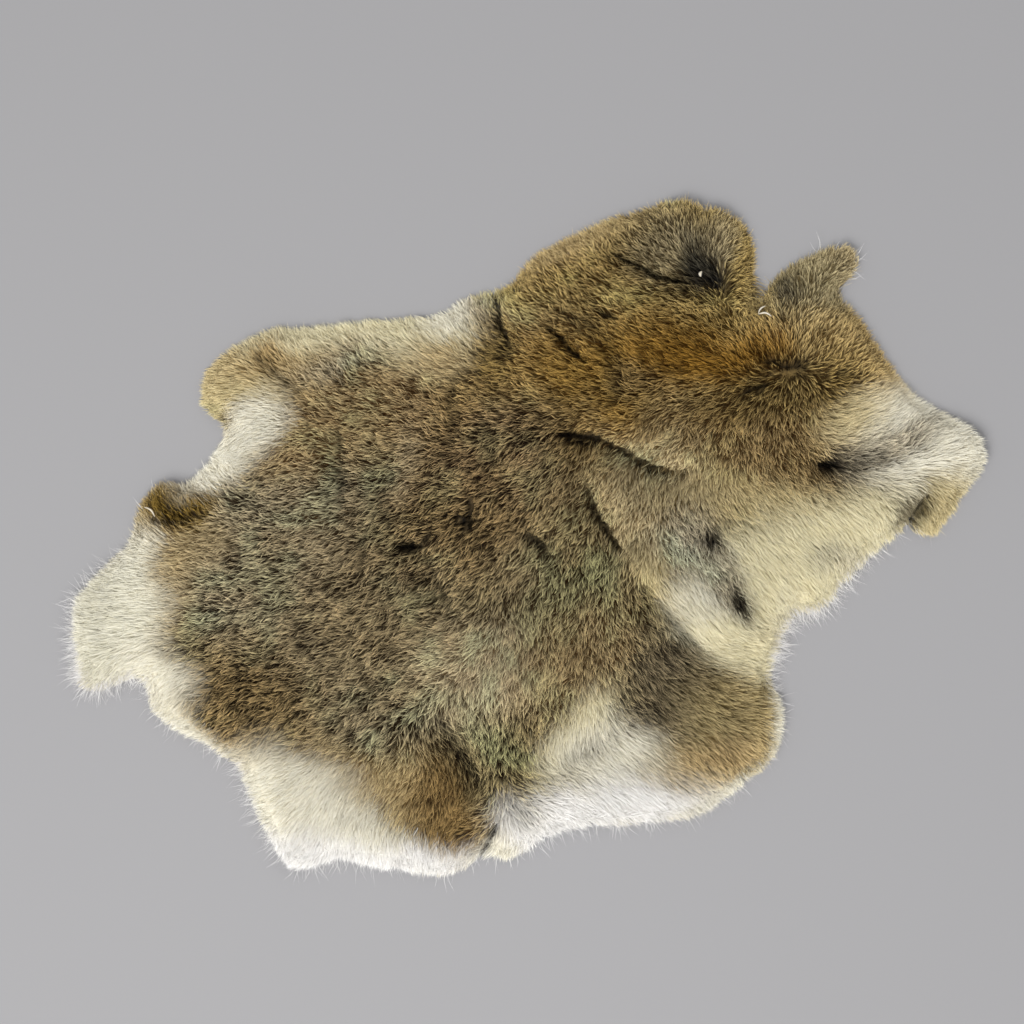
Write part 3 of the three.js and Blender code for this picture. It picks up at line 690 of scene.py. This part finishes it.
def ribbons(name, spine, outline, layer, colours):
    """One mesh of flat pointed hairs. spine is hairs x points x 3, its points spread evenly along each."""
    hairs, per_hair = len(spine), len(outline)
    along = unit(spine[:, -1] - spine[:, 0])
    side = unit(np.cross(along, (0, 0, 1.0)))
    lift = np.cross(side, along)
    roll = np.radians(RNG.normal(0, layer["roll"], hairs))[:, None]
    across = side * np.cos(roll) + lift * np.sin(roll)
    half = across * layer["width"] / 2 * RNG.uniform(0.8, 1.2, (hairs, 1))
    step = (outline[:, 1] * (spine.shape[1] - 1)).astype(int)
    points = spine[:, step] + (2 * outline[:, 0] - 1)[:, None] * half[:, None]
    mesh = fill_mesh(name, points.reshape(-1, 3), np.arange(hairs * per_hair), np.full(hairs, per_hair))
    paint(
        mesh,
        coat=np.repeat(colours["coat"], per_hair, 0),
        under=np.repeat(colours["under"], per_hair, 0),
        strand=np.repeat(RNG.uniform(0, 1, hairs), per_hair),
        along=np.tile(outline[:, 1], hairs),
    )
    lay_out(mesh, hairs, outline)
    return mesh


def lay_out(mesh, hairs, outline, margin=0.12):
    """A map with a cell for each hair, so that each keeps its own colours."""
    across = math.ceil(math.sqrt(hairs))
    cell = np.stack([np.arange(hairs) % across, np.arange(hairs) // across], -1)
    uv = (cell[:, None] + margin + (1 - 2 * margin) * outline) / across
    mesh.uv_layers.new(name="OFBake").data.foreach_set("uv", uv.astype(np.float32).ravel())


# Materials

class Surface:
    """A principled material, and short ways to add nodes to it."""

    def __init__(self, name, roughness, specular, sheen=0.0):
        self.material = bpy.data.materials.new(name)
        self.material.use_nodes = True
        self.tree = self.material.node_tree
        self.shader = self.tree.nodes["Principled BSDF"]
        self.shader.inputs["Roughness"].default_value = roughness
        self.shader.inputs["Specular IOR Level"].default_value = specular
        self.shader.inputs["Sheen Weight"].default_value = sheen

    def new(self, kind, **settings):
        node = self.tree.nodes.new("ShaderNode" + kind)
        for name, value in settings.items():
            setattr(node, name, value)
        return node

    def feed(self, socket, value):
        """Links an output to a socket, or sets the socket to a plain value."""
        if isinstance(value, bpy.types.NodeSocket):
            self.tree.links.new(value, socket)
        else:
            socket.default_value = value

    def stored(self, name, output):
        """A value that the mesh's points carry."""
        return self.new("Attribute", attribute_name=name).outputs[output]

    def noise(self, scale, detail):
        node = self.new("TexNoise")
        self.feed(node.inputs["Scale"], scale)
        self.feed(node.inputs["Detail"], detail)
        self.feed(node.inputs["Vector"], self.new("TexCoord").outputs["Object"])
        return node.outputs["Fac"]

    def ramp(self, factor, *stops):
        """A grey between two stops, each a place and the grey there."""
        node = self.new("ValToRGB")
        for element, (place, grey) in zip(node.color_ramp.elements, stops):
            element.position = place
            element.color = (grey, grey, grey, 1)
        self.feed(node.inputs[0], factor)
        return node.outputs[0]

    def blend(self, kind, factor, a, b):
        node = self.new("Mix", data_type="RGBA", blend_type=kind)
        for index, value in ((0, factor), (6, a), (7, b)):
            self.feed(node.inputs[index], value)
        return node.outputs[2]

    def colour(self, value):
        self.feed(self.shader.inputs["Base Color"], value)

    def bump(self, height, strength, distance):
        node = self.new("Bump")
        self.feed(node.inputs["Strength"], strength)
        self.feed(node.inputs["Distance"], distance)
        self.feed(node.inputs["Height"], height)
        self.feed(self.shader.inputs["Normal"], node.outputs[0])


def fur_material(name, band):
    """A hair: its root's colour up to the band, and its tip's beyond it, each hair a little uneven."""
    fur = Surface(name, roughness=0.55, specular=0.15)
    along = fur.ramp(fur.stored("along", "Fac"), (band[0], 0), (band[1], 1))
    colour = fur.blend("MIX", along, fur.stored("under", "Color"), fur.stored("coat", "Color"))
    own = fur.ramp(fur.stored("strand", "Fac"), (0.0, 0.88), (1.0, 1))
    colour = fur.blend("MULTIPLY", 1.0, colour, own)
    uneven = fur.ramp(fur.noise(140, 2), (0.3, 0.88), (0.7, 1))
    fur.colour(fur.blend("MULTIPLY", 1.0, colour, uneven))
    return fur.material


def down_material():
    """The dense down under the coat: the colour of the coat's roots, with a fine woolly grain."""
    down = Surface("down", roughness=0.9, specular=0.1, sheen=0.3)
    grain = down.ramp(down.noise(900, 3), (0.35, 0.45), (0.7, 0.85))
    down.colour(down.blend("MULTIPLY", 1.0, down.stored("under", "Color"), grain))
    down.bump(down.noise(900, 3), strength=0.6, distance=0.0008)
    return down.material


def skin_material():
    """Tanned skin: off-white suede with cloudy stains, fine creases and a short nap."""
    skin = Surface("tanned skin", roughness=0.82, specular=0.2, sheen=0.2)
    stain = skin.ramp(skin.noise(22, 5), (0.38, 0), (0.72, 1))
    colour = skin.blend("MIX", stain, (*linear((226, 218, 200)), 1), (*linear((196, 180, 150)), 1))
    fleck = skin.ramp(skin.noise(320, 4), (0.35, 0.86), (0.65, 1))
    skin.colour(skin.blend("MULTIPLY", 1.0, colour, fleck))
    skin.feed(skin.shader.inputs["Roughness"], skin.ramp(skin.noise(60, 3), (0.3, 0.7), (0.7, 0.92)))
    nap = skin.new("Math", operation="ADD")
    skin.feed(nap.inputs[0], skin.noise(1400, 2))
    skin.feed(nap.inputs[1], skin.noise(90, 5))
    skin.bump(nap.outputs[0], strength=0.5, distance=0.0006)
    return skin.material


# Pieces

def make_skin(pelt, material):
    """The tanned skin, a closed sheet on the surface."""
    def heights(xy):
        under = pelt.at(pelt.under, xy)
        return under + SKIN["thickness"], under

    mesh, _ = grid_sheet(pelt, "skin", SKIN["spacing"], SKIN["inset"], heights)
    skin = new_object("skin", mesh, material)
    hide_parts("pelt")


def make_curls(pelt, material):
    """Slivers of bare skin, each a small bent strip that rises in its middle."""
    points, faces = [], []
    for at, heading, length, width in CURLS:
        way = heading_of(heading)
        side = np.array([-way[1], way[0]])
        base = pelt.at(pelt.top, np.array([at], float))[0] + CURL_LIFT
        first = len(points)
        for k in range(CURL_STEPS + 1):
            t = k / CURL_STEPS
            arch = math.sin(math.pi * t)
            middle = np.array(at) + way * length * (t - 0.5) + side * CURL_SWING * length * arch
            half = 0.5 * width * math.sqrt(max(0.05, 1 - (2 * t - 1) ** 2))
            for across, up in CURL_SECTION:
                points.append((*(middle + side * half * across), base + CURL_RISE * arch + up))
        for k in range(CURL_STEPS):
            a = first + 4 * k
            faces += [(a + m, a + (m + 1) % 4, a + 4 + (m + 1) % 4, a + 4 + m) for m in range(4)]
        last = first + 4 * CURL_STEPS
        faces += [(first + 3, first + 2, first + 1, first), (last, last + 1, last + 2, last + 3)]
    mesh = fill_mesh("skin_curls", np.array(points), np.array(faces).ravel(), np.full(len(faces), 4))
    new_object("skin_curls", mesh, material)


def make_down_pad(pelt, material):
    """The body of the underwool, a low closed sheet. It is darkened with painted shade all round a parting.
    """
    def heights(xy):
        under = pelt.at(pelt.under, xy) + DOWN_PAD["lift"]
        top = pelt.at(pelt.top, xy) - DOWN_PAD["below_top"]
        return np.maximum(top, under + DOWN_PAD["least"]), under

    mesh, xy = grid_sheet(pelt, "down_pad", DOWN_PAD["spacing"], DOWN_PAD["inset"], heights)
    coat = coat_at(xy)
    # Painted shade of the partings, reaching a little past each.
    around = 1.2 * np.array([(0, 0), (1, 0), (0, 1), (-1, 0), (0, -1)])
    shade = 1 - 0.97 * np.max([parting_shade_at(xy + step) for step in around], axis=0)[:, None]
    pale = smoothstep(coat["dark"].mean(1, keepdims=True), 0.2, 0.8)
    paint(mesh, under=mix(coat["dark"], coat["light"], 0.25) * shade * (1 + 0.5 * pale))
    new_object("down_pad", mesh, material)


def make_locks(pelt):
    """The locks of the coat: where each grows and which way, its length, depth, lightness, bend and clump."""
    root, count = loose_grid(pelt, LOCK_PITCH)
    coat = coat_at(root)
    n = len(root)
    # Locks that clump together wave and bend the most, and the long white ones lie nearly straight.
    curl = smoothstep(coat["clump"], 0.5, 0.75)
    wave = mix(0.5, 1, curl) * (uneven(root, "lock's heading") + RNG.normal(0, 8, n))
    wave += mix(0.15, 1, curl) * uneven(root, "lock's heading, fine")
    length = coat["length"] * RNG.uniform(0.75, 1.15, n)
    # The lower a lock lies, the darker its tick, as painted shade deep in the fur; a tick of its own is mixed
    # in.
    height = np.clip(RNG.uniform(0, 1, n) + uneven(root, "lock's height"), 0, 1)
    tick = mix(height, RNG.uniform(0, 1, n), 0.35) + uneven(root, "lock's tick")
    return {
        "grid": count,
        "root": root,
        "way": turned(comb_at(root, pelt), wave),
        "length": length,
        "depth": LOCK_DEPTH * (1 - height) ** 1.3,
        "tick": np.clip(tick, 0, 1),
        "bend": mix(0.25, 1, curl) * RNG.normal(0, 0.15, n),
        "clump": coat["clump"],
    }


def lock_of(xy, locks, pelt):
    """The lock that each root belongs to: the nearest, measured so that locks are longer than wide."""
    home = ((xy - pelt.low) / LOCK_PITCH).astype(int)
    best, which = np.full(len(xy), np.inf), np.zeros(len(xy), int)
    for step in grid_of((2 * LOCK_SEARCH + 1,) * 2) - LOCK_SEARCH:
        i, j = np.clip(home + step, 0, locks["grid"] - 1).T
        k = i * locks["grid"][1] + j
        d = xy - locks["root"][k]
        way = locks["way"][k]
        along = (d * way).sum(1) / LOCK_STRETCH
        across = d[:, 0] * -way[:, 1] + d[:, 1] * way[:, 0]
        size = along**2 + across**2
        nearer = size < best
        best[nearer], which[nearer] = size[nearer], k[nearer]
    return which


def spines(pelt, root, tip, tip_depth, bend, rise=0.8):
    """Root, middle and tip of each hair. It rises from its root, and then lies along the fur's surface.

    rise is the share of its height that it has reached in the middle.
    """
    across = np.stack([-(tip - root)[:, 1], (tip - root)[:, 0]], -1)
    middle = (root + tip) / 2 + across * bend[:, None]
    skin_z = pelt.at(pelt.under, root) + SKIN["thickness"]
    root_z = np.maximum(pelt.at(pelt.top, root) - ROOT_DEPTH, skin_z)
    tip_z = np.maximum(pelt.at(pelt.top, tip) - tip_depth, LOWEST_TIP)
    middle_z = np.minimum(mix(root_z, tip_z, rise), pelt.at(pelt.top, middle) - 0.35 * tip_depth)
    points = [np.column_stack([p, z]) for p, z in ((root, root_z), (middle, middle_z), (tip, tip_z))]
    return np.stack(points, 1)


def shades(pelt, spine, tick):
    """Each hair's colours at its tip and root, with painted shade at partings. tick runs from its coat's dark
    to its light.
    """
    at_rim = 1 - smoothstep(pelt.at(pelt.inset, spine[:, -1, :2]), -1, 5)
    outer_half = (spine[:, 1, :2] + spine[:, -1, :2]) / 2
    coat = coat_at(outer_half + RNG.normal(0, COLOUR_STRAY, outer_half.shape))
    tick = tick + RNG.uniform(-TICK_SPREAD, TICK_SPREAD, len(tick)) + coat["share"]
    own = smoothstep(tick, *TICK_BAND)[:, None]
    # Painted shade darkens a hair over a parting.
    shade = 1 - parting_shade_at(outer_half)[:, None]
    light, dark = coat["light"] * shade, coat["dark"] * shade
    # Near the rim a tip is lightened towards its coat's light, a painted highlight along the rim.
    tip = mix(mix(dark, light, own), light, 0.4 * at_rim[:, None])
    # Its root is darker again, partly the hair's own dark base and partly painted shade deep in the fur, and
    # darker still under a parting's painted shade.
    root_share = np.minimum(mix(ROOT_SHADE, 1, 1.2 * dark.mean(1, keepdims=True)), 1)
    root_shade = 1 - parting_shade_at(spine[:, 0, :2])[:, None]
    return {"coat": tip, "under": mix(dark, light, 0.35 * own) * root_share * root_shade}


def make_coat(pelt, locks, material):
    """The coat itself, in pieces that each take a strip of the pelt from tail to head."""
    root = scatter(pelt, COAT["count"], COAT["inset"])
    n = len(root)
    lock = lock_of(root, locks, pelt)
    reach = FUR_REACH + uneven(root, "reach") - RNG.gamma(2, 1.4, n)
    vector = locks["way"][lock] * locks["length"][lock][:, None]
    own, centre = root + vector, locks["root"][lock] + vector
    # At the rim the locks come apart, and their tips lie at more depths and are paler, a painted highlight
    # along the rim.
    at_rim = 1 - smoothstep(pelt.at(pelt.inset, own), 0, 6)
    pull = locks["clump"][lock] * RNG.uniform(0.7, 1.1, n) * (1 - 0.75 * at_rim)
    stray = RNG.normal(0, 1, root.shape) * (0.07 + 0.6 * at_rim[:, None])
    tip = hold_in(mix(own, centre, pull[:, None]) + stray, pelt, reach)
    tip = stop_at_partings(root, tip)
    depth = locks["depth"][lock] + RNG.uniform(0, 1.0, n) + at_rim * RNG.uniform(0, 3.2, n)
    spine = spines(pelt, root, tip, depth, locks["bend"][lock] + RNG.normal(0, 0.04, n))
    tick = mix(locks["tick"][lock], RNG.uniform(0.5, 1, n), 0.8 * at_rim)
    for k, part in enumerate(np.array_split(np.argsort(root[:, 0]), COAT["pieces"])):
        name = f"coat_{k + 1}"
        mesh = ribbons(name, spine[part], KITE, COAT, shades(pelt, spine[part], tick[part]))
        new_object(name, mesh, material)


def make_down(pelt, material):
    """Short broad hairs under the coat."""
    root = scatter(pelt, DOWN["count"], DOWN["inset"])
    n = len(root)
    way = turned(comb_at(root, pelt), RNG.normal(0, DOWN["sway"], n))
    reach = 1.6 - RNG.gamma(1.5, 1.0, n)
    tip = hold_in(root + way * DOWN["length"] * RNG.uniform(0.7, 1.2, (n, 1)), pelt, reach)
    tip = stop_at_partings(root, tip)
    spine = spines(pelt, root, tip, RNG.uniform(*DOWN["depth"], n), np.zeros(n))
    colours = shades(pelt, spine, RNG.uniform(*DOWN["tick"], n))
    root_and_tip = spine[:, ::2]
    new_object("down", ribbons("down", root_and_tip, SPIKE, DOWN, colours), material)


def make_guard(pelt, material):
    """Long single hairs that lie over the coat."""
    root = scatter(pelt, GUARD["count"], GUARD["inset"])
    n = len(root)
    way = turned(comb_at(root, pelt), RNG.normal(0, GUARD["sway"], n))
    length = RNG.uniform(*GUARD["length"], (n, 1))
    reach = FUR_REACH - 1 + RNG.normal(0, 1.2, n)
    tip = stop_at_partings(root, hold_in(root + way * length, pelt, reach))
    spine = spines(pelt, root, tip, RNG.uniform(*GUARD["depth"], n), RNG.normal(0, 0.1, n), 0.9)
    colours = shades(pelt, spine, RNG.uniform(*GUARD["tick"], n))
    new_object("guard_hair", ribbons("guard_hair", spine, KITE, GUARD, colours), material)


def make_wisps(pelt, material):
    """Fine white hairs that stand out past the rim, thickest along its wispy stretches."""
    least, most = WISPS["inset"]
    rim = scatter(pelt, 60_000, least)
    rim = rim[pelt.at(pelt.inset, rim) < most]
    chance = sum(share * np.exp(-((rim - at) ** 2).sum(1) / radius**2) for at, radius, share in WISPY)
    root = rim[RNG.choice(len(rim), WISPS["count"], p=chance / chance.sum())]
    root = root + RNG.normal(0, 0.6, root.shape)
    n = len(root)
    way = unit(pelt.at(pelt.outward, root) + comb_at(root, pelt))
    way = turned(way, RNG.normal(0, WISPS["sway"], n))
    length = RNG.uniform(*WISPS["length"], (n, 1)) * RNG.uniform(0.5, 1, (n, 1))
    heights = RNG.uniform(*WISPS["height"], (2, n))
    spine = spines(pelt, root, root + way * length, np.zeros(n), RNG.normal(0, 0.1, n))
    spine[:, 1:, 2] = heights.T
    white = np.repeat(linear((244, 241, 238))[None], n, 0)
    mesh = ribbons("wisps", spine, KITE, WISPS, {"coat": white, "under": white})
    new_object("wisps", mesh, material)


# Stage

def make_stage():
    """A plain grey floor, two large soft lamps overhead and an even sky."""
    bpy.ops.mesh.primitive_plane_add(size=6, location=(0, 0, -0.0003))
    floor = bpy.context.object
    floor.name = "floor"
    surface = Surface("floor", roughness=0.9, specular=0.1)
    surface.colour((*linear((142, 141, 142)), 1))
    floor.data.materials.append(surface.material)
    world = bpy.data.worlds.new("studio")
    bpy.context.scene.world = world
    world.use_nodes = True
    sky = world.node_tree.nodes["Background"]
    sky.inputs["Color"].default_value = (0.97, 0.98, 1.0, 1)
    sky.inputs["Strength"].default_value = 0.5
    for name, place, size, power in LAMPS:
        lamp = bpy.data.lights.new(name, "AREA")
        lamp.size = size
        lamp.energy = power
        item = bpy.data.objects.new(name, lamp)
        item.location = place
        item.rotation_euler = (-Vector(place)).to_track_quat("-Z", "Y").to_euler()
        bpy.context.scene.collection.objects.link(item)


def make_camera():
    """A camera straight above the pelt."""
    data = bpy.data.cameras.new("camera")
    data.sensor_width = VIEW["sensor"]
    data.lens = VIEW["sensor"] * (VIEW["distance"] - VIEW["plane"]) / VIEW["width"]
    camera = bpy.data.objects.new("camera", data)
    camera.location = [c * MM for c in (*VIEW["centre"], VIEW["distance"])]
    bpy.context.scene.collection.objects.link(camera)
    bpy.context.scene.camera = camera


bpy.context.scene.view_settings.view_transform = "Standard"
make_camera()
make_stage()
pelt = Pelt(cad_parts["pelt"])
skin = skin_material()
make_skin(pelt, skin)
make_curls(pelt, skin)
make_down_pad(pelt, down_material())
make_down(pelt, fur_material("down hair", (0.1, 1.0)))
coat_material = fur_material("coat", (0.45, 0.9))
make_coat(pelt, make_locks(pelt), coat_material)
make_guard(pelt, coat_material)
make_wisps(pelt, coat_material)
